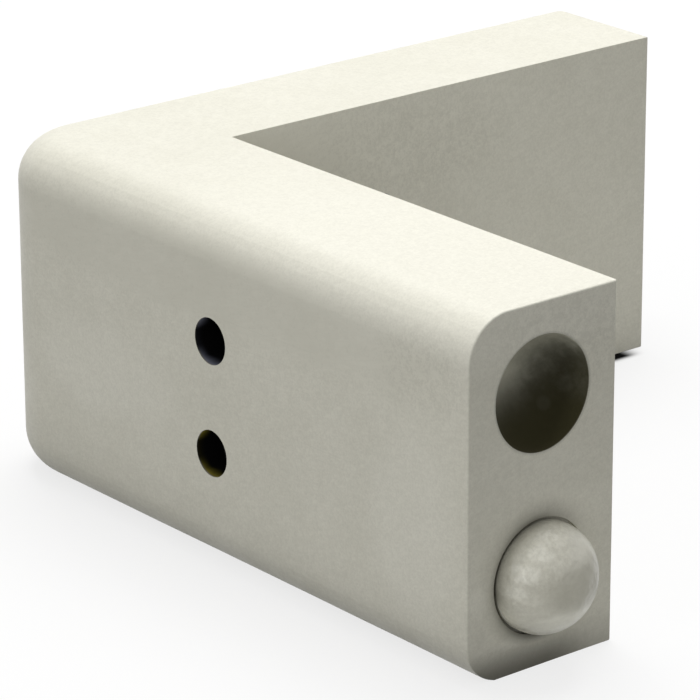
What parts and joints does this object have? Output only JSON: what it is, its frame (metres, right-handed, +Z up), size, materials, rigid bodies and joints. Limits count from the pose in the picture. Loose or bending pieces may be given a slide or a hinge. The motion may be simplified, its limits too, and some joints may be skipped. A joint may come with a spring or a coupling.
{
  "type": "dock corner bumper",
  "caption": "Moulded L-shaped corner guard for a dock, with a rounded outer side, bolt holes through both legs, and a knob and socket on each end that join it to the next bumper.",
  "frame": {"origin": "on the base, where the middle planes of the two legs cross", "axes": "+X along the near leg and +Y along the far leg, away from the corner; +Z up; the outer faces look towards -X and -Y and the dock fits in the corner between the legs"},
  "size_m": [0.3365, 0.3365, 0.15],
  "materials": {
    "moulding": "semi-matt off-white moulded skin, faintly mottled, with light grime in the recesses"
  },
  "bodies": {
    "root": {"bumper": "moulding"}
  },
  "joints": []
}
